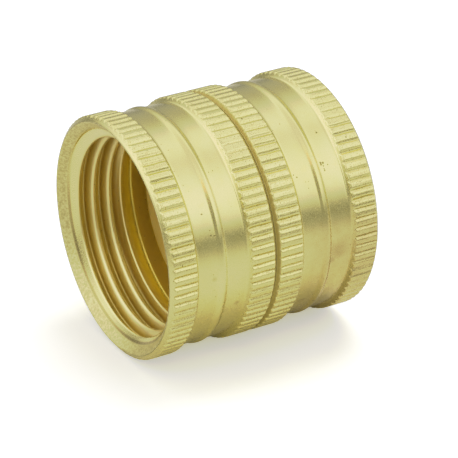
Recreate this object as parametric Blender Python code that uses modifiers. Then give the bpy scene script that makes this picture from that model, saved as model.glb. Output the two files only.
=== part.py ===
"""Union fitting for garden hose: two swivel nuts turn freely on a short flanged nipple that holds them together.

Each nut has an internal hose thread and keeps a flat washer against the nipple's flange.
Metres, +Z up. The fitting lies on its side: its axis is the X axis and the origin is its centre.

Each turned piece is drawn about its own Z axis and then laid down. A nut's own origin is the centre of its
mouth, with +Z pointing out of the mouth, so a depth below the mouth is a negative z.
"""
import math

import bmesh
import bpy

MM = 0.001
MERGE = 0.01 * MM

# Overall size
KNURL_R = 15.35 * MM          # outer radius over the knurled bands
NUT_LENGTH = 14.4 * MM
NUT_GAP = 0.3 * MM            # running gap between the two nuts
HALF_LENGTH = NUT_LENGTH + NUT_GAP / 2

# Outside of a nut, the same seen from either end
BAND_R = 14.7 * MM            # plain turned band between the knurls
BEAD_R = 14.95 * MM           # low raised bead round the nut's middle
BEAD_TOP = 0.5 * MM           # width of the bead's flat top
BEAD_FLANK = 0.25 * MM        # width of each sloping side of the bead
KNURL_END = 3.45 * MM         # distance of a knurl's inner edge from the nut's end
SHOULDER = 0.4 * MM           # width of the cone from knurl down to band
EDGE_LONG = 0.5 * MM          # chamfer at each end of the nut, along the axis
EDGE_DEEP = 0.65 * MM         # and its depth
TEETH = 80                    # straight axial knurl
GROOVE_DEPTH = 0.28 * MM
GROOVE_SLOPE = 0.55           # half width of a knurl groove for each unit of height

# Inside of a nut
RIM_R = 14.5 * MM             # inner edge of the flat mouth rim, where a 45 degree countersink starts
THREAD_PITCH = 25.4 / 11.5 * MM   # 3/4-11.5NH, the garden hose thread
THREAD_MINOR_R = 12.19 * MM
THREAD_MAJOR_R = 13.55 * MM
THREAD_DEPTH = 8.0 * MM       # depth where the thread runs out into the relief bore
THREAD_CREST = 0.42 * MM      # width of the crest left between two turns of the groove
THREAD_ROOT = 0.95 * MM       # width of the bottom of the thread groove
THREAD_PHASE = math.radians(13)   # turns the thread about the nut's axis
RELIEF_R = 13.8 * MM
SEAT_DEPTH = 13.5 * MM        # depth of the inner shoulder that the nipple's flange pulls on
WEB_BORE_R = 9.1 * MM
BORE_STEPS = 40

# Nipple
TUBE_R = 9.0 * MM             # 0.1 mm radial running fit in each nut's web
TUBE_BORE_R = 7.4 * MM
FLANGE_R = 11.7 * MM
FLANGE_THICK = 0.6 * MM
FLANGE_PLAY = 0.15 * MM       # axial clearance between a flange and a nut's shoulder
FLANGE_EDGE = 0.15 * MM       # chamfer round a flange's front edge
TUBE_FLARE = 0.4 * MM         # rounding from the tube's bore into the flange's face
NIPPLE_STEPS = 48

# Washers
WASHER_R = 11.8 * MM
WASHER_HOLE_R = 7.95 * MM
WASHER_THICK = 1.3 * MM
WASHER_REST = 0.3 * MM        # gap to the flange that the washer rests on
WASHER_STEPS = 48

FLANGE_FACE = SEAT_DEPTH - FLANGE_PLAY - FLANGE_THICK   # depth of the flange's front face
WASHER_BACK = FLANGE_FACE - WASHER_REST
WASHER_FRONT = WASHER_BACK - WASHER_THICK

OVERSHOOT = 1.0 * MM          # how far a cutter runs past the surface that it opens

BRASS = (0.72, 0.66, 0.34, 1.0)
BRASS_DEEP = (0.62, 0.50, 0.18, 1.0)
AMBER = (0.50, 0.33, 0.10, 1.0)


def clear_scene():
    for obj in list(bpy.data.objects):
        bpy.data.objects.remove(obj, do_unlink=True)


def new_collection(name):
    collection = bpy.data.collections.new(name)
    bpy.context.scene.collection.children.link(collection)
    return collection


def principled(name, color, roughness, metallic):
    material = bpy.data.materials.new(name)
    material.use_nodes = True
    shader = material.node_tree.nodes["Principled BSDF"]
    shader.inputs["Base Color"].default_value = color
    shader.inputs["Roughness"].default_value = roughness
    shader.inputs["Metallic"].default_value = metallic
    return material


def turned(name, profile, steps, collection):
    """A solid of revolution about Z. The profile's (radius, z) points run down the outer side, top to bottom."""
    mesh = bpy.data.meshes.new(name)
    points = [(r, 0.0, z) for r, z in profile]
    closed = profile[0][0] > 0.0
    edges = [(i, i + 1) for i in range(len(points) - 1)]
    if closed:
        edges.append((len(points) - 1, 0))
    mesh.from_pydata(points, edges, [])
    obj = bpy.data.objects.new(name, mesh)
    collection.objects.link(obj)
    screw = obj.modifiers.new("turn", "SCREW")
    screw.axis = "Z"
    screw.steps = steps
    screw.render_steps = steps
    screw.use_merge_vertices = True
    screw.merge_threshold = MERGE
    return obj


def hide_cutter(obj):
    obj.hide_render = True
    obj.display_type = "WIRE"


def cut(target, cutter):
    boolean = target.modifiers.new(cutter.name, "BOOLEAN")
    boolean.operation = "DIFFERENCE"
    boolean.solver = "EXACT"
    boolean.object = cutter


def baked_mesh(obj, name):
    """The object's mesh with its modifiers applied, shaded smooth but for its real edges."""
    bpy.context.view_layer.update()
    evaluated = obj.evaluated_get(bpy.context.evaluated_depsgraph_get())
    mesh = bpy.data.meshes.new_from_object(evaluated)
    mesh.name = name
    mesh.materials.clear()
    mesh.shade_smooth()
    mesh.set_sharp_from_angle(angle=math.radians(20))
    return mesh


def nut_blank_profile():
    """Outside of a nut, drawn as a solid bar: down from the mouth at z = 0 to the inner end."""
    middle = NUT_LENGTH / 2
    half = [
        (KNURL_R - EDGE_DEEP, 0.0),
        (KNURL_R, EDGE_LONG),
        (KNURL_R, KNURL_END),
        (BAND_R, KNURL_END + SHOULDER),
        (BAND_R, middle - BEAD_TOP / 2 - BEAD_FLANK),
        (BEAD_R, middle - BEAD_TOP / 2),
    ]
    outside = half + [(r, NUT_LENGTH - depth) for r, depth in reversed(half)]
    return [(0.0, 0.0)] + [(r, -depth) for r, depth in outside] + [(0.0, -NUT_LENGTH)]


def nut_bore_profile():
    """Everything that is bored out of a nut, as one stepped plug."""
    steps = [
        (RIM_R + OVERSHOOT, -OVERSHOOT),
        (THREAD_MINOR_R, RIM_R - THREAD_MINOR_R),
        (THREAD_MINOR_R, THREAD_DEPTH),
        (RELIEF_R, THREAD_DEPTH + RELIEF_R - THREAD_MINOR_R),
        (RELIEF_R, SEAT_DEPTH),
        (WEB_BORE_R, SEAT_DEPTH),
        (WEB_BORE_R, NUT_LENGTH + OVERSHOOT),
    ]
    return [(0.0, OVERSHOOT)] + [(r, -depth) for r, depth in steps] + [(0.0, -NUT_LENGTH - OVERSHOOT)]


def thread_cutter(collection):
    """The groove of a right-hand internal thread: a trapezoid swept along a helix that deepens as it turns."""
    inner_r = THREAD_MINOR_R - OVERSHOOT / 2
    root = THREAD_ROOT / 2
    opening = (THREAD_PITCH - THREAD_CREST) / 2
    slope = (opening - root) / (THREAD_MAJOR_R - THREAD_MINOR_R)
    inner = opening + slope * (THREAD_MINOR_R - inner_r)
    turns = math.ceil((THREAD_DEPTH + OVERSHOOT) / THREAD_PITCH) + 1
    mesh = bmesh.new()
    corners = [(inner_r, inner), (inner_r, -inner), (THREAD_MAJOR_R, -root), (THREAD_MAJOR_R, root)]
    ring = [mesh.verts.new((r, 0.0, z + OVERSHOOT)) for r, z in corners]
    edges = [mesh.edges.new((ring[i - 1], ring[i])) for i in range(4)]
    steps = turns * BORE_STEPS
    drop = -THREAD_PITCH / BORE_STEPS
    bmesh.ops.spin(
        mesh, geom=ring + edges, cent=(0, 0, 0), axis=(0, 0, -1), dvec=(0, 0, drop),
        angle=turns * math.tau, steps=steps, use_merge=False, use_duplicate=False,
    )
    bmesh.ops.holes_fill(mesh, edges=[e for e in mesh.edges if e.is_boundary], sides=4)
    bmesh.ops.recalc_face_normals(mesh, faces=mesh.faces)
    data = bpy.data.meshes.new("thread_cutter")
    mesh.to_mesh(data)
    mesh.free()
    obj = bpy.data.objects.new("thread_cutter", data)
    obj.rotation_euler.z = THREAD_PHASE
    collection.objects.link(obj)
    return obj


def knurl_cutter(collection):
    """A ring of long three-sided bars, one for each groove of the knurl. They pass clear above band and bead."""
    low = KNURL_R - GROOVE_DEPTH
    high = KNURL_R + OVERSHOOT / 2
    half_width = (high - low) * GROOVE_SLOPE
    mesh = bmesh.new()
    corners = [mesh.verts.new(p) for p in ((low, 0, 0), (high, half_width, 0), (high, -half_width, 0))]
    end = mesh.faces.new(corners)
    sides = bmesh.ops.extrude_face_region(mesh, geom=[end], use_keep_orig=True)
    moved = [v for v in sides["geom"] if isinstance(v, bmesh.types.BMVert)]
    bmesh.ops.translate(mesh, verts=moved, vec=(0, 0, -NUT_LENGTH - 2 * OVERSHOOT))
    bmesh.ops.translate(mesh, verts=mesh.verts, vec=(0, 0, OVERSHOOT))
    bmesh.ops.recalc_face_normals(mesh, faces=mesh.faces)
    bmesh.ops.spin(
        mesh, geom=mesh.verts[:] + mesh.edges[:] + mesh.faces[:], cent=(0, 0, 0), axis=(0, 0, 1),
        angle=math.tau * (TEETH - 1) / TEETH, steps=TEETH - 1, use_merge=False, use_duplicate=True,
    )
    data = bpy.data.meshes.new("knurl_cutter")
    mesh.to_mesh(data)
    mesh.free()
    obj = bpy.data.objects.new("knurl_cutter", data)
    collection.objects.link(obj)
    return obj


def nut_mesh(cutters):
    blank = turned("nut_blank", nut_blank_profile(), TEETH, cutters)
    bore = turned("bore_cutter", nut_bore_profile(), BORE_STEPS, cutters)
    for cutter in (bore, thread_cutter(cutters), knurl_cutter(cutters)):
        hide_cutter(cutter)
        cut(blank, cutter)
    mesh = baked_mesh(blank, "swivel_nut")
    hide_cutter(blank)
    return mesh


def nipple_profile():
    """Both flanges and the tube between them, about the nipple's middle."""
    top = HALF_LENGTH - FLANGE_FACE
    back = top - FLANGE_THICK
    upper = [
        (TUBE_BORE_R, top - TUBE_FLARE),
        (TUBE_BORE_R + TUBE_FLARE * (1 - math.sqrt(0.5)), top - TUBE_FLARE * (1 - math.sqrt(0.5))),
        (TUBE_BORE_R + TUBE_FLARE, top),
        (FLANGE_R - FLANGE_EDGE, top),
        (FLANGE_R, top - FLANGE_EDGE),
        (FLANGE_R, back),
        (TUBE_R, back),
    ]
    return upper + [(r, -z) for r, z in reversed(upper)]


def washer_profile():
    """A flat ring about its own middle."""
    half = WASHER_THICK / 2
    return [(WASHER_HOLE_R, half), (WASHER_R, half), (WASHER_R, -half), (WASHER_HOLE_R, -half)]


def place(name, mesh, material, collection, x, facing):
    """Lays a turned piece down on the X axis. Its own +Z then points to +X or -X, as facing says."""
    obj = bpy.data.objects.new(name, mesh)
    collection.objects.link(obj)
    obj.location = (x, 0.0, 0.0)
    obj.rotation_euler = (0.0, facing * math.pi / 2, 0.0)
    if not mesh.materials:
        mesh.materials.append(material)
    return obj


def turned_mesh(name, profile, steps, cutters):
    guide = turned(name + "_profile", profile, steps, cutters)
    mesh = baked_mesh(guide, name)
    hide_cutter(guide)
    return mesh


def build():
    clear_scene()
    fitting = new_collection("union_fitting")
    cutters = new_collection("cutters")
    brass = principled("nut_brass", BRASS, 0.32, 1.0)
    deep_brass = principled("nipple_brass", BRASS_DEEP, 0.3, 1.0)
    vinyl = principled("washer_vinyl", AMBER, 0.5, 0.0)

    nut = nut_mesh(cutters)
    washer = turned_mesh("hose_washer", washer_profile(), WASHER_STEPS, cutters)
    nipple = turned_mesh("nipple", nipple_profile(), NIPPLE_STEPS, cutters)
    place("centre_nipple", nipple, deep_brass, fitting, 0.0, 1)
    washer_x = HALF_LENGTH - (WASHER_FRONT + WASHER_BACK) / 2
    for side, facing in (("left", -1), ("right", 1)):
        place(side + "_swivel_nut", nut, brass, fitting, facing * HALF_LENGTH, facing)
        place(side + "_hose_washer", washer, vinyl, fitting, facing * washer_x, facing)
    for guide in cutters.objects:
        hide_cutter(guide)


build()
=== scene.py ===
"""Looks of the union fitting: two knurled brass swivel nuts on a flanged nipple, with a washer in each nut.

Lengths are in millimetres up to the last step of each mesh, where MM turns them into metres. A nut is
described by the depth below its mouth and the turn about its axis, and is then laid along the X axis where
the CAD nut lies.
"""
import math

import bpy
import numpy as np
from mathutils import Matrix, Vector


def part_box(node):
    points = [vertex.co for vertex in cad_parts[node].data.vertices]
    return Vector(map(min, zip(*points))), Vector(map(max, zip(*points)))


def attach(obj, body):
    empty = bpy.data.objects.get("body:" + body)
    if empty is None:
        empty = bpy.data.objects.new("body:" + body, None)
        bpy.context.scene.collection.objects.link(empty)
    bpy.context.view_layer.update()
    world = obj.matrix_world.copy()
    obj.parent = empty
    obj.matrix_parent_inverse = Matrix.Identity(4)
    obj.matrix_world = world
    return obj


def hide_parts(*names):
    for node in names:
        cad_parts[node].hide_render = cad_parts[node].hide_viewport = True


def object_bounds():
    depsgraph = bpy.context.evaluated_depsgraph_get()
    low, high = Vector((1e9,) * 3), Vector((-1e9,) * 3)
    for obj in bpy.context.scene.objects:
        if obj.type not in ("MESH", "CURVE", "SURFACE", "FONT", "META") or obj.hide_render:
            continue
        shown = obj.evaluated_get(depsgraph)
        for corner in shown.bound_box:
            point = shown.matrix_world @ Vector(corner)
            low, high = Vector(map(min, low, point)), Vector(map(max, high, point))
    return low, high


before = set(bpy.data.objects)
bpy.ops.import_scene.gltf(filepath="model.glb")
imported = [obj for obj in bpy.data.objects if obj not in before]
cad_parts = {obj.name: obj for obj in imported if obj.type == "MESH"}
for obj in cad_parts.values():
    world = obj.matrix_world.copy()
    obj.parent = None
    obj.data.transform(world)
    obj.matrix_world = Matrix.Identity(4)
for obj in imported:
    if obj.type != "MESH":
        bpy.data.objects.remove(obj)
cad_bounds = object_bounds()

MM = 0.001

# Nut, outside
KNURL_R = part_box("left_swivel_nut")[1].z / MM
REACH = 0.14                   # the inner ends stand this much nearer together than the CAD's play
NUT_LENGTH = (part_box("left_swivel_nut")[1].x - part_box("left_swivel_nut")[0].x) / MM + REACH
BAND_R = KNURL_R - 0.65
BEAD_R = KNURL_R - 0.4
BEAD_TOP = 0.3
BEAD_FLANK = 0.48
KNURL_END = 3.45
SHOULDER = 0.45
EDGE_LONG = 0.5
EDGE_R = KNURL_R - 0.65        # outer edge of the flat rim
CORNER = 0.09                  # half width of the rounding at the outside's corners

# Knurl
TEETH = 80
GROOVE_DEPTH = 0.27
GROOVE_HALF = 0.30             # half width of a groove where it meets the pads
PAD_CROWN = 0.02               # how far a pad's edges lie below its middle
TOOTH_PITCH = math.tau * KNURL_R / TEETH
WORN_HALF = math.radians(10)   # half width of each nut's worn patch, where the grooves are shallow
TOOTH_COLUMNS = (-0.34, -0.25, -0.14, -0.03, 0.03, 0.14, 0.25, 0.34, 0.50, TOOTH_PITCH - 0.50)

# Nut, inside
RIM_R = KNURL_R - 0.85
THREAD_PITCH = 25.4 / 11.5
MINOR_R = 12.19
MAJOR_R = 13.55
THREAD_DEPTH = 8.0
ROOT_HALF = 0.32
OPENING_HALF = (THREAD_PITCH - 0.75) / 2
THREAD_LEAD_IN = 1.0           # depth of the groove's centre above the mouth, at the thread's phase angle
THREAD_PHASE = math.radians(13)
CREST_ROUNDING = 1.3
SAND_END = 1.05                # depth where the sanded chamfer gives way to the smooth lead-in cone
LEAD_IN_SLOPE = 1.6
THREAD_ROWS = 32               # rows of vertices in one pitch
RELIEF_R = 13.8
SEAT_DEPTH = 13.5
WEB_BORE_R = 9.1
EASE = 0.04                    # small flat left at the rim's two edges
COARSE = 4                     # outside columns for one inside column

# Places on the axis, measured from the middle of the fitting
MOUTH_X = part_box("right_swivel_nut")[1].x / MM
CREASE_X = MOUTH_X - SAND_END
RELIEF_X = MOUTH_X - THREAD_DEPTH

# Nipple and washers
TUBE_R = 9.0
TUBE_BORE_R = 7.4
FLANGE_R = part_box("centre_nipple")[1].z / MM
FLANGE_FACE_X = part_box("centre_nipple")[1].x / MM
FLANGE_THICK = 0.6
WASHER_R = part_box("left_hose_washer")[1].z / MM
WASHER_HOLE_R = 7.95
TURNED_COLUMNS = 240


# --- Small numeric helpers ------------------------------------------------------------------------

def soft_min(a, b, width):
    """The lower of two surfaces, with their meeting edge rounded over that width in value."""
    overlap = np.clip(1 - np.abs(a - b) / width, 0, 1)
    return np.minimum(a, b) - overlap ** 2 * width / 4


def soft_max(a, b, width):
    return -soft_min(-a, -b, width)


def smooth_step(x, low, high):
    t = np.clip((x - low) / (high - low), 0, 1)
    return t * t * (3 - 2 * t)


def scatter(number, seed):
    """A fixed value from 0 to 1 for each whole number."""
    return np.modf(np.abs(np.sin(number * 12.9898 + seed * 78.233) * 43758.5453))[0]


def ripple(depth, turn, seed):
    """A small uneven wave over the nut's surface, from -1 to 1."""
    a = np.sin(depth * 2.3 + turn * 17 + seed) * np.sin(depth * 0.9 - turn * 29 + 2 * seed)
    b = np.sin(depth * 6.1 - turn * 61 + 3 * seed) * np.sin(depth * 4.2 + turn * 43 + seed)
    return (a + 0.6 * b) / 1.6


def rounded_profile(depth, points, half_width):
    """A profile through (depth, radius) points, with its corners rounded over half_width to each side."""
    xs, rs = zip(*points)
    offsets = np.linspace(-half_width, half_width, 9)
    return np.mean([np.interp(depth + o, xs, rs) for o in offsets], axis=0)


# --- Shape of a nut -------------------------------------------------------------------------------

def outside_points():
    middle = NUT_LENGTH / 2
    half = [
        (-1.0, EDGE_R - 1.3),
        (0.0, EDGE_R),
        (EDGE_LONG, KNURL_R),
        (KNURL_END, KNURL_R),
        (KNURL_END + SHOULDER, BAND_R),
        (middle - BEAD_TOP / 2 - BEAD_FLANK, BAND_R),
        (middle - BEAD_TOP / 2, BEAD_R),
    ]
    return half + [(NUT_LENGTH - d, r) for d, r in reversed(half)]


def outside_rows():
    """Depths of the outside's vertex rings, closer together where the surface bends."""
    middle = NUT_LENGTH / 2
    bead = middle - BEAD_TOP / 2
    half = np.concatenate([
        np.array([EASE, 0.12, 0.2]),
        np.arange(0.27, 0.7, 0.065),
        np.arange(0.8, KNURL_END - 0.15, 0.36),
        np.arange(KNURL_END - 0.1, KNURL_END + SHOULDER + 0.14, 0.07),
        np.array([KNURL_END + 0.75, middle - 1.4]),
        np.linspace(bead - BEAD_FLANK - 0.1, bead + 0.08, 9),
    ])
    return np.concatenate([half, [middle], NUT_LENGTH - half[::-1]])


def outside_radius(depth, turn, seed, worn_place):
    """Radius of the outside, with its axial knurl. depth is a column and turn a row."""
    base = rounded_profile(depth, outside_points(), CORNER)
    tooth = np.round(turn * TEETH / math.tau)
    across = (turn * TEETH / math.tau - tooth) * TOOTH_PITCH
    away = np.abs(across + 0.03 * ripple(depth, turn, seed))
    worn_depth, worn_turn = worn_place
    aside = (turn - worn_turn + math.pi) % math.tau - math.pi
    worn = np.exp(-(aside / WORN_HALF) ** 4) * (np.abs(depth - worn_depth) < KNURL_END)
    deepness = GROOVE_DEPTH * (0.75 + 0.4 * scatter(tooth, seed)) * (1 - 0.4 * worn)
    slope = GROOVE_DEPTH / GROOVE_HALF
    groove = KNURL_R - deepness + slope * (np.sqrt(away ** 2 + 0.03 ** 2) - 0.03)
    crown = PAD_CROWN * (1 - 2 * away / TOOTH_PITCH) ** 2
    lip = 0.012 * np.exp(-((away - 0.36) / 0.07) ** 2) * (0.5 + 0.5 * ripple(depth * 1.7, turn, seed + 5))
    on_pad = smooth_step(base, BAND_R + 0.3, KNURL_R)
    pad = base + on_pad * (lip - crown + 0.008 * ripple(depth, turn, seed + 1))
    pad = np.minimum(pad, KNURL_R)
    return soft_min(pad, groove, 0.05)


def thread_radius(depth, turn):
    """Radius of the thread's groove, a rounded trapezoid that follows a right-hand helix."""
    centre = -THREAD_LEAD_IN + THREAD_PITCH * (THREAD_PHASE - turn) / math.tau
    away = np.abs((depth - centre + THREAD_PITCH / 2) % THREAD_PITCH - THREAD_PITCH / 2)
    slope = (MAJOR_R - MINOR_R) / (OPENING_HALF - ROOT_HALF)
    return soft_min(np.full_like(away, MAJOR_R), MAJOR_R - slope * (away - ROOT_HALF), 0.3)


def inside_radius(depth, turn):
    """Radius of the countersink, the thread and the cone into the relief bore."""
    bore = np.full_like(depth + turn, MINOR_R)
    runout = smooth_step(depth, THREAD_DEPTH - 1.1, THREAD_DEPTH + 0.2)
    groove = thread_radius(depth, turn)
    threaded = soft_max(bore, groove - runout * (MAJOR_R - MINOR_R), CREST_ROUNDING)
    relief = soft_min(MINOR_R + (depth - THREAD_DEPTH), np.full_like(depth, RELIEF_R), 0.5)
    radius = soft_max(threaded, relief + 0 * turn, 0.7)
    return soft_max(radius, countersink_radius(depth) + 0 * turn, 0.3)


def countersink_radius(depth):
    """A sanded chamfer, then a flatter and smooth lead-in cone."""
    sanded = RIM_R + EASE - depth
    lead_in = RIM_R + EASE - SAND_END + LEAD_IN_SLOPE * (SAND_END - depth)
    return soft_min(sanded, lead_in, 0.15)


def thread_row_offsets():
    """Where the rows of one pitch lie along the axis, evenly spaced along the thread's own outline."""
    depth = np.linspace(0, THREAD_PITCH, 2001)
    outline = soft_max(np.full_like(depth, MINOR_R), thread_radius(depth, THREAD_PHASE), CREST_ROUNDING)
    length = np.concatenate([[0], np.cumsum(np.hypot(np.diff(depth), np.diff(outline)))])
    return np.interp(np.arange(THREAD_ROWS) / THREAD_ROWS * length[-1], length, depth)


def arc(centre, radius, start, end, steps):
    """Points of a round corner in a (radius, depth) outline, with angles in degrees from the radius."""
    angles = np.radians(np.linspace(start, end, steps + 1))
    return [(centre[0] + radius * math.cos(a), centre[1] + radius * math.sin(a)) for a in angles]


def inner_end_outline():
    """From the outer chamfer across the inner end face, through the web and out to the relief bore's wall."""
    end = NUT_LENGTH
    points = [(13.6, end), (12.4, end), (11.0, end), (9.9, end)]
    points += arc((WEB_BORE_R + 0.15, end - 0.15), 0.15, 90, 180, 4)
    points += arc((WEB_BORE_R + 0.1, SEAT_DEPTH + 0.1), 0.1, 180, 270, 3)
    points += [(9.9, SEAT_DEPTH), (11.2, SEAT_DEPTH), (12.6, SEAT_DEPTH)]
    points += arc((RELIEF_R - 0.35, SEAT_DEPTH - 0.35), 0.35, 90, 0, 5)
    points += [(RELIEF_R, d) for d in (12.6, 12.0, 11.4, 10.8, 10.3)]
    return points


class Shell:
    """Collects rings of vertices, the faces between them and the finish of each vertex."""

    def __init__(self, angles):
        self.angles = angles
        self.points, self.finish, self.faces = [], [], []
        self.count = 0

    def add(self, radius, depth, angles, finish):
        radius, depth, angles = np.broadcast_arrays(radius, depth, angles)
        block = np.stack([radius * np.cos(angles), radius * np.sin(angles), -depth], -1).reshape(-1, 3)
        self.points.append(block)
        self.finish.append(np.broadcast_to(finish, (len(block), 3)) if np.ndim(finish) == 1 else finish)
        index = np.arange(self.count, self.count + len(block)).reshape(radius.shape)
        self.count += len(block)
        return index

    def face(self, corners):
        kept = [c for i, c in enumerate(corners) if c != corners[i - 1]]
        if len(kept) > 2:
            self.faces.append(kept)

    def bridge(self, near, far):
        """Quads between two rings of the same size."""
        for j in range(len(near)):
            k = (j + 1) % len(near)
            self.face([int(near[j]), int(near[k]), int(far[k]), int(far[j])])

    def bridge_to_fine(self, coarse, fine):
        """A band between a ring and one with COARSE times as many vertices, from coarse out to fine."""
        for j in range(len(coarse)):
            k = (j + 1) % len(coarse)
            steps = [int(fine[(COARSE * j + n) % len(fine)]) for n in range(COARSE + 1)]
            middle = COARSE // 2
            for n in range(COARSE):
                corner = int(coarse[j] if n < middle else coarse[k])
                self.face([corner, steps[n + 1], steps[n]])
            self.face([int(coarse[j]), int(coarse[k]), steps[middle]])

    def mesh(self, name, to_world):
        mesh = bpy.data.meshes.new(name)
        points = to_world(np.concatenate(self.points)) * MM
        mesh.from_pydata(points.tolist(), [], self.faces)
        mesh.update()
        finish = np.concatenate(self.finish).astype(np.float32)
        for column, label in enumerate(("knurled", "sanded", "inside")):
            layer = mesh.attributes.new(label, "FLOAT", "POINT")
            layer.data.foreach_set("value", np.ascontiguousarray(finish[:, column]))
        mesh.shade_smooth()
        if signed_volume(mesh) < 0:
            mesh.flip_normals()
        return mesh


def signed_volume(mesh):
    mesh.calc_loop_triangles()
    co = np.zeros(len(mesh.vertices) * 3)
    mesh.vertices.foreach_get("co", co)
    co = co.reshape(-1, 3)
    tris = np.zeros(len(mesh.loop_triangles) * 3, int)
    mesh.loop_triangles.foreach_get("vertices", tris)
    a, b, c = co[tris.reshape(-1, 3)].transpose(1, 0, 2)
    return float(np.einsum("ij,ij->i", a, np.cross(b, c)).sum())


# Finish of a vertex: its shares of knurled, sanded and inside
OUTSIDE = (0, 0, 0)
SANDED = (0, 1, 0)
INSIDE = (0, 0, 1)


def add_outside(shell, seed, worn_place):
    """The knurled outside. Returns its first and last ring."""
    rows = outside_rows()[:, None]
    radius = outside_radius(rows, shell.angles[None, :], seed, worn_place)
    from_end = np.minimum(rows, NUT_LENGTH - rows)
    past_knurl = smooth_step(from_end, KNURL_END + 0.05, KNURL_END + 0.3)
    knurled = smooth_step(from_end, 0.15, 0.4) * (1 - past_knurl)
    finish = np.zeros(radius.shape + (3,))
    finish[..., 0] = knurled
    index = shell.add(radius, rows, shell.angles[None, :], finish.reshape(-1, 3))
    for near, far in zip(index[:-1], index[1:]):
        shell.bridge(near, far)
    return index[0], index[-1]


def add_thread(shell, coarse_angles):
    """The countersink and thread, in rows that follow the helix and stop at a plain ring at each end."""
    first, last = EASE, THREAD_DEPTH + RELIEF_R - MINOR_R + 0.25
    turns = math.ceil((last - first) / THREAD_PITCH) + 2
    rows = turns * THREAD_ROWS
    along = np.concatenate([n * THREAD_PITCH + thread_row_offsets() for n in range(turns)])[:, None]
    turn = coarse_angles[None, :]
    start = -THREAD_LEAD_IN + THREAD_PITCH * THREAD_PHASE / math.tau
    start += THREAD_PITCH * math.floor((first - start) / THREAD_PITCH)
    depth = start + along - THREAD_PITCH * turn / math.tau
    radius = inside_radius(depth, turn)
    near = shell.add(inside_radius(np.full_like(turn, first), turn), first, turn, SANDED)[0]
    far = shell.add(inside_radius(np.full_like(turn, last), turn), last, turn, INSIDE)[0]
    least = 0.012
    inner = (depth > first + least) & (depth < last - least)
    index = np.where(depth <= first + least, near[None, :], far[None, :])
    sanded = 1 - smooth_step(depth, SAND_END - 0.25, SAND_END + 0.1)
    finish = np.stack([np.zeros_like(depth), sanded, smooth_step(depth, 1.0, 2.6)], -1)
    new = shell.add(radius[inner], depth[inner], np.broadcast_to(turn, depth.shape)[inner], finish[inner])
    index[inner] = new
    columns = len(coarse_angles)
    for j in range(columns):
        here, there = index[:, j], index[:, (j + 1) % columns]
        if j == columns - 1:
            here = np.concatenate([here, np.full(THREAD_ROWS, far[j])])
            there = np.concatenate([np.full(THREAD_ROWS, near[0]), there])
        for k in range(len(here) - 1):
            shell.face([int(here[k]), int(there[k]), int(there[k + 1]), int(here[k + 1])])
    return near, far


def nut_mesh(name, facing, mouth_x, seed, worn_place):
    """facing is -1 for the nut whose mouth points to -X and 1 for the other."""
    teeth = np.arange(TEETH)[:, None] * TOOTH_PITCH + np.array(TOOTH_COLUMNS)[None, :]
    shell = Shell(teeth.ravel() / KNURL_R)
    coarse = shell.angles[::COARSE]
    outer_first, outer_last = add_outside(shell, seed, worn_place)
    near, far = add_thread(shell, coarse)
    rim = [shell.add(r, 0.0, coarse, SANDED) for r in (EDGE_R - EASE, RIM_R + 0.05)]
    shell.bridge_to_fine(rim[0], outer_first)
    shell.bridge(rim[0], rim[1])
    shell.bridge(rim[1], near)
    rings = [shell.add(EDGE_R - EASE, NUT_LENGTH, coarse, OUTSIDE)]
    for r, d in inner_end_outline():
        deep = INSIDE if d < NUT_LENGTH - 0.2 else OUTSIDE
        rings.append(shell.add(r, d, coarse, deep))
    shell.bridge_to_fine(rings[0], outer_last)
    for a, b in zip(rings, rings[1:] + [far]):
        shell.bridge(a, b)

    def to_world(p):
        return np.stack([mouth_x + facing * p[:, 2], p[:, 1], -facing * p[:, 0]], -1)

    return shell.mesh(name, to_world)


# --- Nipple and washers ---------------------------------------------------------------------------

def turned_mesh(name, outline, finish):
    """A ring about the X axis from a closed (radius, x) outline."""
    angles = np.arange(TURNED_COLUMNS) * math.tau / TURNED_COLUMNS
    shell = Shell(angles)
    rings = [shell.add(r, -x, angles, finish) for r, x in outline]
    for a, b in zip(rings, rings[1:] + rings[:1]):
        shell.bridge(a, b)
    return shell.mesh(name, lambda p: np.stack([p[:, 2], p[:, 1], -p[:, 0]], -1))


def nipple_outline():
    """Half of the nipple's section has a rolled flange and a flared bore, and the other half mirrors it."""
    top = FLANGE_FACE_X
    back = top - FLANGE_THICK
    half = [(TUBE_R, 0.0), (TUBE_R, 0.6 * back)]
    half += arc((TUBE_R + 0.08, back - 0.08), 0.08, 180, 90, 3)
    half += [(10.2, back), (11.2, back)]
    half += arc((FLANGE_R - 0.25, back + 0.25), 0.25, -90, 0, 4)
    half += arc((FLANGE_R - 0.28, top - 0.28), 0.28, 0, 90, 4)
    half += [(10.6, top), (9.7, top), (8.8, top)]
    half += arc((TUBE_BORE_R + 0.6, top - 0.6), 0.6, 90, 180, 6)
    half += [(TUBE_BORE_R, 0.4)]
    mirrored = [(r, -x) for r, x in reversed(half[1:])]
    return half + mirrored


def washer_outline(low, high):
    """A moulded flat ring with soft edges and a faint parting line round it."""
    edge, middle = 0.22, (low + high) / 2
    points = arc((WASHER_HOLE_R + edge, high - edge), edge, 180, 90, 4)
    points += [(r, high - 0.02) for r in (9.0, 9.9, 10.8)]
    points += arc((WASHER_R - edge, high - edge), edge, 90, 0, 4)
    points += [(WASHER_R - 0.03, middle + 0.08), (WASHER_R, middle), (WASHER_R - 0.03, middle - 0.08)]
    points += arc((WASHER_R - edge, low + edge), edge, 0, -90, 4)
    points += [(r, low + 0.02) for r in (10.8, 9.9, 9.0)]
    points += arc((WASHER_HOLE_R + edge, low + edge), edge, -90, -180, 4)
    return points


# --- Materials ------------------------------------------------------------------------------------

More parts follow.
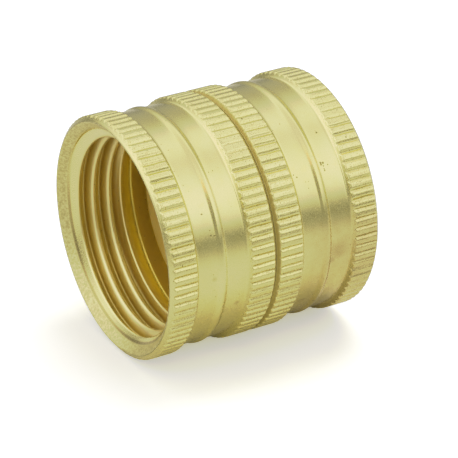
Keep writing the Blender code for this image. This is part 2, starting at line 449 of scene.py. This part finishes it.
class Graph:
    """Short names for the shader nodes that the materials share."""

    def __init__(self, tree):
        self.tree = tree

    def node(self, kind, inputs=None, **settings):
        node = self.tree.nodes.new(kind)
        for key, value in settings.items():
            setattr(node, key, value)
        for key, value in (inputs or {}).items():
            self.put(node.inputs[key], value)
        return node

    def put(self, socket, value):
        if isinstance(value, bpy.types.NodeSocket):
            self.tree.links.new(value, socket)
        else:
            socket.default_value = value

    def position(self, stretch=(1, 1, 1)):
        """Object coordinates in millimetres."""
        where = self.node("ShaderNodeTexCoord").outputs["Object"]
        scale = tuple(s / MM for s in stretch)
        return self.node("ShaderNodeVectorMath", {0: where, 1: scale}, operation="MULTIPLY").outputs[0]

    def noise(self, vector, scale, detail=2.0, roughness=0.5):
        inputs = {"Vector": vector, "Scale": scale, "Detail": detail, "Roughness": roughness}
        return self.node("ShaderNodeTexNoise", inputs).outputs["Fac"]

    def math(self, operation, a, b=0.0, clamp=False):
        return self.node("ShaderNodeMath", {0: a, 1: b}, operation=operation, use_clamp=clamp).outputs[0]

    def times(self, a, b):
        return self.math("MULTIPLY", a, b)

    def remap(self, value, low, high, to_low=0.0, to_high=1.0):
        inputs = {"Value": value, "From Min": low, "From Max": high, "To Min": to_low, "To Max": to_high}
        return self.node("ShaderNodeMapRange", inputs, interpolation_type="SMOOTHSTEP").outputs["Result"]

    def mix(self, share, a, b):
        return self.node("ShaderNodeMix", {0: share, 6: a, 7: b}, data_type="RGBA").outputs[2]

    def blend(self, share, a, b):
        return self.node("ShaderNodeMix", {0: share, 2: a, 3: b}).outputs[0]

    def attribute(self, name):
        return self.node("ShaderNodeAttribute", attribute_name=name).outputs["Fac"]

    def bump(self, height, distance, strength=1.0, normal=None):
        inputs = {"Height": height, "Distance": distance * MM, "Strength": strength}
        if normal is not None:
            inputs["Normal"] = normal
        return self.node("ShaderNodeBump", inputs).outputs["Normal"]


def new_material(name):
    material = bpy.data.materials.new(name)
    material.use_nodes = True
    material.node_tree.nodes.clear()
    graph = Graph(material.node_tree)
    output = graph.node("ShaderNodeOutputMaterial")
    shader = graph.node("ShaderNodeBsdfPrincipled")
    graph.put(output.inputs["Surface"], shader.outputs["BSDF"])
    return material, graph, shader


BRASS = (0.74, 0.665, 0.245, 1)
BRASS_PALE = (0.79, 0.72, 0.29, 1)
BRASS_GOLD = (0.76, 0.65, 0.20, 1)
BRASS_PATINA_AND_SHADE = (0.56, 0.46, 0.17, 1)   # tarnish low on the right nut, with painted shade darkening it towards the bottom
BRASS_JOINT_SHADE = (0.50, 0.41, 0.13, 1)    # painted shade in the joint between the nuts
# Dark brown for real stains, and for painted shade in the knurl's grooves and the mouth's crease.
BRASS_DIRT_AND_SHADE = (0.30, 0.22, 0.07, 1)
BRASS_PIT = (0.20, 0.16, 0.06, 1)
# Painted light: a paler, brighter brass that lifts the shaded inside of the bore and the nipple.
BRASS_BORE_LIT = (0.86, 0.74, 0.31, 1)
BRASS_ROOT_SHADE = (0.62, 0.48, 0.13, 1)     # painted shade in the thread's roots
BRASS_RELIEF_LIT = (0.98, 0.82, 0.20, 1)     # painted light: a brighter gold in the relief behind the thread, lifting its shade
SAND_DARK = (0.50, 0.44, 0.155, 1)
SAND_LIGHT = (0.70, 0.635, 0.27, 1)
VINYL = (0.57, 0.39, 0.075, 1)
VINYL_PALE = (0.62, 0.45, 0.11, 1)

BAND_ROUGHNESS = (0.2, 0.28)
PAD_ROUGHNESS = (0.18, 0.3)
JOINT_ROUGHNESS = 0.6
THREAD_ROUGHNESS = 0.40
RELIEF_ROUGHNESS = 0.45
SANDED_ROUGHNESS = 0.45
VINYL_ROUGHNESS = (0.38, 0.5)

# Heights of the finest surface detail, in mm
RING_HEIGHT = 0.0009
GRAIN_HEIGHT = 0.001
PAD_MOTTLE_HEIGHT = 0.028
CHIP_DEPTH = 0.042
SAND_HEIGHT = 0.045
PIT_DEPTH = 0.05
RAGGED = 0.16                  # how far a mark's outline strays


def strewn(along, turn, count, spread, size, seed):
    """Marks strewn about a place on the outside. Each is a place along the axis, a turn and a radius."""
    marks = []
    for n in range(count):
        shift = spread * (2 * scatter(n, seed) - 1)
        aside = math.degrees(spread * (2 * scatter(n, seed + 1) - 1) / BAND_R)
        marks.append((along + shift, turn + aside, size * (0.6 + 0.6 * scatter(n, seed + 2))))
    return marks


# Marks on the outside: place along the axis in mm, turn about it in degrees, and radius in mm
BAND_PITS = strewn(8.7, 143, 8, 0.55, 0.14, 3)
BAND_PITS += strewn(-8, 160, 4, 0.5, 0.13, 7)
BAND_PITS += strewn(5, 145, 3, 0.8, 0.1, 11)
BAND_PITS += [(9.4, 126, 0.16), (-9, 150, 0.12)]
BAND_STAINS = ((8, 190, 0.8), (5, 215, 0.8), (-8.5, 182, 0.5), (-5, 200, 0.6), (9, 185, 2.0))
KNURL_NICKS = ((1, 110, 0.16), (-1.3, 160, 0.14), (12.5, 133, 0.12), (-13, 170, 0.12))


def spots(g, where, radius, marks, softness):
    """1 inside any of the marks on a surface of that radius, fading to 0 at their edges."""
    total = 0.0
    for along, turn, size in marks:
        angle = math.radians(turn)
        centre = (along, radius * math.cos(angle), radius * math.sin(angle))
        away = g.node("ShaderNodeVectorMath", {0: where, 1: centre}, operation="DISTANCE").outputs["Value"]
        total = g.math("MAXIMUM", total, g.remap(away, size, size * (1 - softness)))
    return total


def brass_marks(g, where, cloud):
    """Masks of the pits and of the stains."""
    ragged = g.node("ShaderNodeTexNoise", {"Vector": where, "Scale": 4.0, "Detail": 2.0}).outputs["Color"]
    inputs = {0: ragged, 1: (RAGGED,) * 3, 2: where}
    strayed = g.node("ShaderNodeVectorMath", inputs, operation="MULTIPLY_ADD").outputs[0]
    inputs = {0: strayed, 1: (RAGGED / 2,) * 3}
    strayed = g.node("ShaderNodeVectorMath", inputs, operation="SUBTRACT").outputs[0]
    cells = g.node("ShaderNodeTexVoronoi", {"Vector": where, "Scale": 1.2}).outputs["Distance"]
    specks = g.times(g.remap(cells, 0.085, 0.05), g.remap(cloud, 0.46, 0.54))
    pits = spots(g, strayed, BAND_R, BAND_PITS, 0.6)
    nicks = spots(g, strayed, KNURL_R, KNURL_NICKS, 0.6)
    pits = g.math("MAXIMUM", g.math("MAXIMUM", pits, nicks), g.times(specks, 0.7))
    return pits, spots(g, strayed, BAND_R, BAND_STAINS, 0.9)


def brass_zones(g, where, cloud, deep):
    """Masks of the places with a finish of their own, or with painted light or shade. deep is 1 for a piece
    that lies wholly inside.
    """
    split = g.node("ShaderNodeSeparateXYZ", {0: where})
    along, height = split.outputs["X"], split.outputs["Z"]
    from_middle = g.math("ABSOLUTE", along)
    squares = g.math("ADD", g.math("POWER", split.outputs["Y"], 2.0), g.math("POWER", height, 2.0))
    radius = g.math("SQRT", squares)
    inside = g.math("MAXIMUM", g.attribute("inside"), deep)
    outside = g.math("SUBTRACT", 1.0, inside)

    # Tarnish and painted shade: darker towards the bottom of the right nut, mottled by the cloud.
    tarnish_and_shade = g.times(g.remap(along, 1.0, 7.0), g.remap(height, 6.0, 0.0))
    tarnish_and_shade = g.times(tarnish_and_shade, g.remap(cloud, 0.25, 0.7, 0.6, 0.95))
    # Painted shade: a dark line in the crease between the sanded chamfer and the lead-in cone, stronger low
    # down.
    crease_shade = g.times(g.remap(from_middle, CREASE_X + 0.12, CREASE_X),
                     g.remap(from_middle, CREASE_X - 0.24, CREASE_X - 0.1))
    crease_shade = g.times(crease_shade, g.remap(radius, RIM_R - 0.4, RIM_R - 0.7))
    return {
        "knurled": g.attribute("knurled"),
        "sanded": g.attribute("sanded"),
        "inside": inside,
        "relief": g.times(g.remap(from_middle, RELIEF_X - 0.15, RELIEF_X - 0.95), inside),
        "root": g.times(g.remap(radius, MAJOR_R - 0.75, MAJOR_R - 0.1), inside),
        # Where the nuts meet: painted shade in the colour, and a rougher surface.
        "joint": g.times(g.remap(from_middle, 0.5, 0.3), outside),
        "crease_shade": g.times(crease_shade, g.remap(height, 8.0, -2.0)),
        "tarnish_and_shade": g.times(tarnish_and_shade, outside),
    }


def brass_color(g, where, cloud, mottle, zones, pits, stains):
    """From the metal up: its own tints, then each zone, some with painted light or shade, then painted shade
    in the knurl's grooves, stains and pits.
    """
    patches = g.noise(where, 0.16, 3)
    color = g.mix(g.times(g.remap(patches, 0.35, 0.7), 0.5), BRASS, BRASS_PALE)
    color = g.mix(g.times(g.remap(cloud, 0.45, 0.75), 0.3), color, BRASS_GOLD)
    # Painted light inside the bore.
    color = g.mix(zones["inside"], color, BRASS_BORE_LIT)
    color = g.mix(zones["tarnish_and_shade"], color, BRASS_PATINA_AND_SHADE)
    # Painted light in the relief bore.
    color = g.mix(zones["relief"], color, BRASS_RELIEF_LIT)
    # Painted shade in the thread's roots, fading out in the relief.
    color = g.mix(g.times(zones["root"], g.math("SUBTRACT", 0.8, zones["relief"])), color, BRASS_ROOT_SHADE)
    # Painted shade on the inner chamfers, where the nuts meet.
    color = g.mix(g.times(zones["joint"], 0.85), color, BRASS_JOINT_SHADE)
    sandy = g.mix(g.remap(mottle, 0.35, 0.65), SAND_DARK, SAND_LIGHT)
    color = g.mix(zones["sanded"], color, sandy)
    # Painted shade in the mouth's crease.
    color = g.mix(g.times(zones["crease_shade"], 0.75), color, BRASS_DIRT_AND_SHADE)
    # Painted shade in the knurl's grooves, found by their pointiness.
    edge = g.node("ShaderNodeNewGeometry").outputs["Pointiness"]
    groove_shade = g.times(g.remap(edge, 0.485, 0.42), zones["knurled"])
    color = g.mix(g.times(groove_shade, 0.75), color, BRASS_DIRT_AND_SHADE)
    color = g.mix(g.times(stains, 0.4), color, BRASS_DIRT_AND_SHADE)
    return g.mix(g.times(pits, 0.9), color, BRASS_PIT)


def brass_roughness(g, grain, zones):
    roughness = g.remap(grain, 0.3, 0.7, *BAND_ROUGHNESS)
    roughness = g.blend(zones["knurled"], roughness, g.remap(grain, 0.3, 0.7, *PAD_ROUGHNESS))
    roughness = g.blend(zones["joint"], roughness, JOINT_ROUGHNESS)
    bore = g.blend(zones["relief"], THREAD_ROUGHNESS, RELIEF_ROUGHNESS)
    roughness = g.blend(zones["inside"], roughness, bore)
    return g.blend(zones["sanded"], roughness, SANDED_ROUGHNESS)


def brass_height(g, where, grain, mottle, zones, pits):
    """Fine turning rings and grain, a rough and chipped knurl, a coarse sanded chamfer, and pits."""
    rings = g.noise(g.position((12, 0.4, 0.4)), 1.0, 3, 0.6)
    chips = g.remap(g.noise(where, 7.0, 2, 0.5), 0.62, 0.72)
    height = g.math("ADD", g.times(rings, RING_HEIGHT), g.times(grain, GRAIN_HEIGHT))
    height = g.math("ADD", height, g.times(g.times(mottle, zones["knurled"]), PAD_MOTTLE_HEIGHT))
    height = g.math("SUBTRACT", height, g.times(g.times(chips, zones["knurled"]), CHIP_DEPTH))
    height = g.math("ADD", height, g.times(g.times(mottle, zones["sanded"]), SAND_HEIGHT))
    return g.math("SUBTRACT", height, g.times(pits, PIT_DEPTH))


def brass(name, deep=0.0):
    """Turned brass. The mesh's own attributes say where it is knurled, sanded or inside the bore."""
    material, g, shader = new_material(name)
    where = g.position()
    cloud = g.noise(where, 0.9, 4, 0.6)
    grain = g.noise(where, 5.0, 3, 0.6)
    mottle = g.noise(where, 3.2, 3, 0.7)
    pits, stains = brass_marks(g, where, cloud)
    zones = brass_zones(g, where, cloud, deep)
    g.put(shader.inputs["Base Color"], brass_color(g, where, cloud, mottle, zones, pits, stains))
    g.put(shader.inputs["Roughness"], brass_roughness(g, grain, zones))
    g.put(shader.inputs["Metallic"], 1.0)
    g.put(shader.inputs["Normal"], g.bump(brass_height(g, where, grain, mottle, zones, pits), 1.0))
    return material


def washer_vinyl():
    """Satin amber vinyl, a little cloudy, with fine moulding grain."""
    material, g, shader = new_material("washer_vinyl")
    where = g.position()
    cloud = g.noise(where, 0.25, 2)
    grain = g.noise(where, 6.0, 2)
    g.put(shader.inputs["Base Color"], g.mix(g.remap(cloud, 0.3, 0.7), VINYL, VINYL_PALE))
    g.put(shader.inputs["Roughness"], g.remap(grain, 0.3, 0.7, *VINYL_ROUGHNESS))
    g.put(shader.inputs["Subsurface Weight"], 0.15)
    g.put(shader.inputs["Subsurface Radius"], (0.8 * MM, 0.5 * MM, 0.2 * MM))
    g.put(shader.inputs["Normal"], g.bump(grain, 0.01))
    return material


# --- Pieces ---------------------------------------------------------------------------------------

def add_piece(name, mesh, material, body, node):
    mesh.materials.append(material)
    obj = bpy.data.objects.new(name, mesh)
    bpy.context.scene.collection.objects.link(obj)
    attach(obj, body)
    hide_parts(node)
    return obj


def add_pieces():
    nut_finish = brass("brass_nut")
    nipple_finish = brass("brass_nipple", deep=1.0)
    vinyl = washer_vinyl()
    worn = {"left": (NUT_LENGTH - 1.7, math.radians(-32)), "right": (1.7, math.radians(205))}
    for side, facing, seed in (("left", -1, 1.0), ("right", 1, 4.0)):
        node = side + "_swivel_nut"
        low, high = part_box(node)
        mouth = (low.x if facing < 0 else high.x) / MM
        add_piece(side + "_nut_machined", nut_mesh(node + "_looks", facing, mouth, seed, worn[side]),
                  nut_finish, side + "_nut", node)
        node = side + "_hose_washer"
        low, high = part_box(node)
        ring = turned_mesh(node + "_looks", washer_outline(low.x / MM, high.x / MM), OUTSIDE)
        add_piece(side + "_washer_moulded", ring, vinyl, side + "_washer", node)
    tube = turned_mesh("nipple_looks", nipple_outline(), INSIDE)
    add_piece("nipple_swaged", tube, nipple_finish, "nipple", "centre_nipple")


# --- Stage ----------------------------------------------------------------------------------------

FLOOR_SIZE = 1.6                     # m
FLOOR_GAP = 0.02 * MM                # between the floor and the knurl
PAPER_BOUNCE_LIT = (0.69, 0.65, 0.48, 1)   # painted warm bounce light: the paper as the brass sees it right under itself
PAPER = (0.56, 0.56, 0.55, 1)        # as the brass sees it near by
PAPER_FAR_SHADE = (0.3, 0.3, 0.3, 1)       # painted shade: the paper as the brass sees it, darker towards the horizon
PAPER_SEEN = (1.02, 1.02, 1.01, 1)   # as the camera sees it
PAPER_GLOW = 0.39                    # lifts the paper to white for the camera, and its shadow with it
WHITE = 1.45                         # scene brightness that comes out white
TENT_SEEN = (1.5, 1.5, 1.5, 1)       # background as the camera sees it
OPENING_AIM = (-0.50, -0.74, 0.42)   # dark opening that the camera looks through
OPENING_COLOR = (0.32, 0.31, 0.30, 1)
GLINT_AIM = (-0.46, -0.50, 0.73)     # small warm lamp beside it
GLINT_COLOR = (1.6, 0.95, 0.5, 1)
PANEL_PLACE = (0.17, 0.10, 0.44)     # m
PANEL_SIZE = 0.35
PANEL_POWER = 1.6
AIM = Vector((2.0, 0.0, -3.0)) * MM
AZIMUTH = math.radians(-29.9)
ELEVATION = math.radians(26.95)
DISTANCE = 318.3 * MM
ROLL = math.radians(0.76)
LENS = 200.3


def add_floor():
    mesh = bpy.data.meshes.new("floor")
    half = FLOOR_SIZE / 2
    corners = [(-half, -half, 0), (half, -half, 0), (half, half, 0), (-half, half, 0)]
    mesh.from_pydata(corners, [], [(0, 1, 2, 3)])
    floor = bpy.data.objects.new("floor", mesh)
    floor.location.z = cad_bounds[0].z - FLOOR_GAP
    bpy.context.scene.collection.objects.link(floor)
    material, g, shader = new_material("floor_paper")
    seen = g.node("ShaderNodeLightPath").outputs["Is Camera Ray"]
    away = g.node("ShaderNodeVectorMath", {0: g.position()}, operation="LENGTH").outputs["Value"]
    far = g.remap(away, 45, 150)
    paper = g.mix(far, g.mix(g.remap(away, 8, 32), PAPER_BOUNCE_LIT, PAPER), PAPER_FAR_SHADE)
    g.put(shader.inputs["Base Color"], g.mix(seen, paper, PAPER_SEEN))
    g.put(shader.inputs["Roughness"], 1.0)
    g.put(shader.inputs["Specular IOR Level"], 0.0)
    # Painted warm bounce light: the paper's glow turns yellow close under the part.
    g.put(shader.inputs["Emission Color"], g.mix(g.remap(away, 8, 34), (1, 0.97, 0.72, 1), (1, 1, 1, 1)))
    g.put(shader.inputs["Emission Strength"], g.times(seen, PAPER_GLOW))
    mesh.materials.append(material)


def add_studio():
    """A white tent round the part, darker at the horizon, with a dark opening for the camera."""
    world = bpy.data.worlds.new("studio")
    bpy.context.scene.world = world
    world.use_nodes = True
    world.node_tree.nodes.clear()
    g = Graph(world.node_tree)
    direction = g.node("ShaderNodeTexCoord").outputs["Generated"]
    parts = g.node("ShaderNodeSeparateXYZ", {0: direction})
    across, depth, up = (parts.outputs[axis] for axis in "XYZ")

    def ramp(stops):
        """Brightness by the sine of the height above the horizon."""
        node = g.node("ShaderNodeValToRGB", {"Fac": g.times(g.math("ADD", up, 0.25), 0.8)})
        elements = node.color_ramp.elements
        while len(elements) > 1:
            elements.remove(elements[-1])
        for n, (height, value) in enumerate(stops):
            place = (height + 0.25) * 0.8
            element = elements[0] if n == 0 else elements.new(place)
            element.position = place
            element.color = (value, value, value, 1)
        return node.outputs["Color"]

    def spot(center, inner, outer):
        """1 within an angle of a direction, and 0 beyond a larger one. Angles are in degrees."""
        aim = Vector(center).normalized()
        inputs = {0: direction, 1: aim}
        near = g.node("ShaderNodeVectorMath", inputs, operation="DOT_PRODUCT").outputs["Value"]
        return g.remap(near, math.cos(math.radians(outer)), math.cos(math.radians(inner)))

    front = ramp([(0, 0.24), (0.09, 0.3), (0.24, 0.85), (0.4, 1.4), (0.62, 1.5), (0.78, 1.4), (0.9, 1.0)])
    right = ramp([(0, 0.5), (0.16, 1.2), (0.62, 1.45), (0.8, 1.1), (1.0, 1.0)])
    left = ramp([(0, 0.2), (0.09, 0.3), (0.2, 1.2), (0.3, 1.7), (0.7, 1.6), (1.0, 1.0)])
    back = ramp([(0, 0.2), (0.1, 0.4), (0.57, 0.5), (0.72, 0.85), (0.85, 1.4), (0.93, 1.4), (1.0, 1.1)])
    light = g.mix(g.remap(across, 0.6, 0.85), front, right)
    light = g.mix(g.remap(across, -0.6, -0.8), light, left)
    behind = g.times(g.remap(depth, -0.08, 0.15), g.remap(across, -0.4, 0.1))
    light = g.mix(behind, light, back)
    light = g.mix(spot(OPENING_AIM, 14, 21), light, OPENING_COLOR)
    light = g.mix(spot(GLINT_AIM, 3, 8), light, GLINT_COLOR)
    camera_ray = g.node("ShaderNodeLightPath").outputs["Is Camera Ray"]
    light = g.mix(camera_ray, light, TENT_SEEN)
    background = g.node("ShaderNodeBackground", {"Color": light, "Strength": 1.0})
    g.node("ShaderNodeOutputWorld", {"Surface": background.outputs[0]})


def add_key_light():
    """A large soft panel above and behind, for the part's shadow. It doesn't show as a reflection."""
    data = bpy.data.lights.new("overhead_panel", "AREA")
    data.shape = "DISK"
    data.size = PANEL_SIZE
    data.energy = PANEL_POWER
    panel = bpy.data.objects.new("overhead_panel", data)
    bpy.context.scene.collection.objects.link(panel)
    panel.location = PANEL_PLACE
    panel.rotation_mode = "QUATERNION"
    panel.rotation_quaternion = Vector(panel.location).to_track_quat("Z", "Y")
    panel.visible_glossy = False


def set_tone():
    """A photographic shoulder that presses bright tones together, so that brass highlights turn pale."""
    view = bpy.context.scene.view_settings
    view.view_transform = "Standard"
    view.use_curve_mapping = True
    mapping = view.curve_mapping
    mapping.white_level = (WHITE, WHITE, WHITE)
    mapping.clip_max_x = mapping.clip_max_y = 1.0
    curve = mapping.curves[3]
    tones = ((0.33, 0.36), (0.48, 0.515), (0.68, 0.60), (0.79, 0.675), (1.04, 0.765), (1.25, 0.885))
    for seen, shown in tones:
        curve.points.new(seen / WHITE, shown)
    mapping.update()


def add_camera():
    camera = bpy.data.objects.new("camera", bpy.data.cameras.new("camera"))
    bpy.context.scene.collection.objects.link(camera)
    right = Vector((math.cos(AZIMUTH), math.sin(AZIMUTH), 0))
    back = Vector((math.sin(AZIMUTH) * math.cos(ELEVATION), -math.cos(AZIMUTH) * math.cos(ELEVATION),
                   math.sin(ELEVATION)))
    up = back.cross(right)
    turned = Matrix((right, up, back)).transposed() @ Matrix.Rotation(-ROLL, 3, "Z")
    camera.matrix_world = Matrix.Translation(AIM + back * DISTANCE) @ turned.to_4x4()
    camera.data.lens = LENS
    camera.data.clip_start, camera.data.clip_end = 0.01, 10
    bpy.context.scene.camera = camera


add_pieces()
add_floor()
add_studio()
add_key_light()
add_camera()
set_tone()
